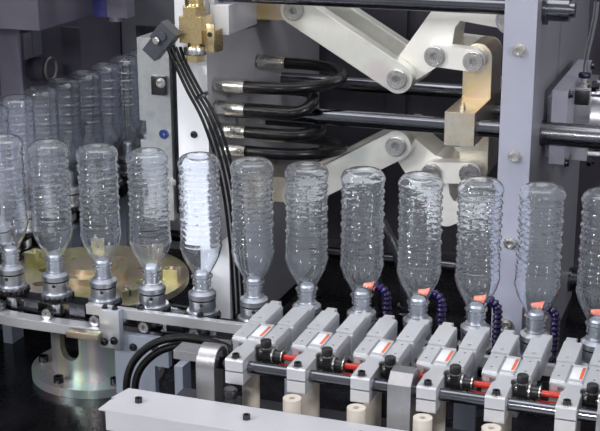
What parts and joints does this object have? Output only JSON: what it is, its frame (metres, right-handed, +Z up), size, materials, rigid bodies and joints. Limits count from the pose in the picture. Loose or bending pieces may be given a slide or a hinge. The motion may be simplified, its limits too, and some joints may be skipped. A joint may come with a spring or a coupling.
{
  "type": "blow moulding machine",
  "caption": "Linear bottle blow moulding machine: chain of bottles on mandrels, toggle clamp with platens, wheel and swinging neck grippers on a frame.",
  "frame": {"origin": "centre of the machine's base on the floor", "axes": "+X along the front bottle line to the right, +Y from front to rear, +Z up"},
  "size_m": [1.64, 1.4, 1.63],
  "materials": {
    "black_paint": "satin",
    "black_steel": "gloss",
    "light_paint": "satin",
    "dark_paint": "matte",
    "grey_paint": "satin",
    "lavender_paint": "satin",
    "white_paint": "satin",
    "ground_steel": "satin",
    "bright_links": "satin",
    "dark_chrome": "polished",
    "yellow_zinc": "satin",
    "pink_zinc": "satin",
    "green_zinc": "satin",
    "black_rubber": "matte",
    "brass": "polished",
    "dark_plastic": "matte",
    "turned_aluminium": "polished",
    "satin_aluminium": "satin",
    "dark_steel": "satin",
    "blue_paint": "satin",
    "clear_plastic": "clear gloss",
    "red_plastic": "gloss",
    "cream_plastic": "matte",
    "violet_plastic": "gloss"
  },
  "bodies": {
    "machine": {"base_frame": "black_paint", "leveling_feet": "ground_steel", "table_plate": "black_steel", "base_panels": "light_paint", "guard_walls": "dark_paint", "oven_housing": "grey_paint", "drive_housing": "light_paint", "fixed_platen": "dark_paint", "fixed_mould_plate": "ground_steel", "tail_platen": "lavender_paint", "tie_bars": "dark_chrome", "guide_sleeves": "ground_steel", "tail_pins": "ground_steel", "clamp_cylinder": "ground_steel", "cylinder_bracket": "ground_steel", "wheel_housing": "green_zinc", "mandrels": "turned_aluminium", "chain_links": "dark_steel", "side_rollers": "ground_steel", "chain_rails": "satin_aluminium", "rail_brackets": "blue_paint", "socket_screws": "dark_steel", "bottles": "clear_plastic", "gripper_base": "dark_paint", "shaft_supports": "satin_aluminium", "stop_posts": "cream_plastic", "cover_plate": "lavender_paint", "coolant_hoses": "violet_plastic", "cable_conduits": "dark_plastic", "air_hose": "black_rubber"},
    "platen": {"moving_platen": "white_paint", "moving_mould_plate": "ground_steel", "guide_rods": "dark_chrome", "platen_lugs": "pink_zinc", "platen_pins": "ground_steel", "hydraulic_hoses": "black_rubber", "hose_fittings": "ground_steel", "blow_valve": "brass", "valve_connector": "dark_plastic", "valve_cables": "black_rubber"},
    "rear_link_upper": {"rear_link_upper": "bright_links", "upper_link_pins": "ground_steel"},
    "rear_link_lower": {"rear_link_lower": "bright_links", "lower_link_pins": "ground_steel"},
    "front_link_upper": {"front_link_upper": "bright_links"},
    "front_link_lower": {"front_link_lower": "bright_links"},
    "crosshead_link_upper": {"crosshead_link_upper": "bright_links"},
    "crosshead_link_lower": {"crosshead_link_lower": "bright_links"},
    "crosshead": {"crosshead": "pink_zinc", "crosshead_pins": "ground_steel", "piston_rod": "dark_chrome"},
    "chain_wheel": {"chain_wheel": "yellow_zinc"},
    "gripper_row": {"gripper_shaft": "dark_chrome", "gripper_arms": "satin_aluminium", "arm_screws": "ground_steel", "gripper_bodies": "satin_aluminium", "speed_controllers": "dark_plastic", "air_tubes": "red_plastic"},
    "left_fingers": {"left_fingers": "satin_aluminium"},
    "right_fingers": {"right_fingers": "satin_aluminium"}
  },
  "joints": [
    {"name": "toggle_close", "type": "hinge", "parent": "machine", "child": "rear_link_upper", "pos_m": [0.328, 0.233, 1.482], "axis": [0, 1, 0], "range_deg": [0, 16]},
    {"name": "upper_knee", "type": "hinge", "parent": "rear_link_upper", "child": "front_link_upper", "pos_m": [0.13905, 0.233, 1.37247], "axis": [0, 1, 0], "range_deg": [-32.2, 0]},
    {"name": "upper_platen_pin", "type": "hinge", "parent": "front_link_upper", "child": "platen", "pos_m": [-0.0499, 0.233, 1.482], "axis": [0, 1, 0], "range_deg": [0, 16.1]},
    {"name": "lower_tail_pin", "type": "hinge", "parent": "machine", "child": "rear_link_lower", "pos_m": [0.328, 0.233, 1.144], "axis": [0, 1, 0], "range_deg": [-16.1, 0]},
    {"name": "lower_knee", "type": "hinge", "parent": "rear_link_lower", "child": "front_link_lower", "pos_m": [0.13905, 0.233, 1.25353], "axis": [0, 1, 0], "range_deg": [0, 32.2]},
    {"name": "crosshead_slide", "type": "slide", "parent": "machine", "child": "crosshead", "axis": [-1, 0, 0], "range_m": [0, 0.0263]},
    {"name": "upper_lug_pin", "type": "hinge", "parent": "rear_link_upper", "child": "crosshead_link_upper", "pos_m": [0.204, 0.233, 1.416], "axis": [0, 1, 0], "range_deg": [0, 17.1]},
    {"name": "lower_lug_pin", "type": "hinge", "parent": "rear_link_lower", "child": "crosshead_link_lower", "pos_m": [0.204, 0.233, 1.21], "axis": [0, 1, 0], "range_deg": [-17.1, 0]},
    {"name": "wheel_turn", "type": "hinge", "parent": "machine", "child": "chain_wheel", "pos_m": [-0.345, -0.06927, 1], "axis": [0, 0, 1], "continuous": true},
    {"name": "gripper_turn", "type": "hinge", "parent": "machine", "child": "gripper_row", "pos_m": [0.12, -0.525, 1.116], "axis": [1, 0, 0], "range_deg": [0, 180]},
    {"name": "left_finger_slide", "type": "slide", "parent": "gripper_row", "child": "left_fingers", "axis": [1, 0, 0], "range_m": [0, 0.006]},
    {"name": "right_finger_slide", "type": "slide", "parent": "gripper_row", "child": "right_fingers", "axis": [-1, 0, 0], "range_m": [0, 0.006]}
  ],
  "couplings": [
    {"joint": "upper_knee", "follows": "toggle_close", "ratio": -2},
    {"joint": "upper_platen_pin", "follows": "toggle_close", "ratio": 1},
    {"joint": "lower_tail_pin", "follows": "toggle_close", "ratio": -1},
    {"joint": "lower_knee", "follows": "toggle_close", "ratio": 2},
    {"joint": "crosshead_slide", "follows": "toggle_close", "m_per_rad": 0.0936},
    {"joint": "upper_lug_pin", "follows": "toggle_close", "ratio": 1.059},
    {"joint": "lower_lug_pin", "follows": "toggle_close", "ratio": -1.059},
    {"joint": "right_finger_slide", "follows": "left_finger_slide", "ratio": 1}
  ]
}
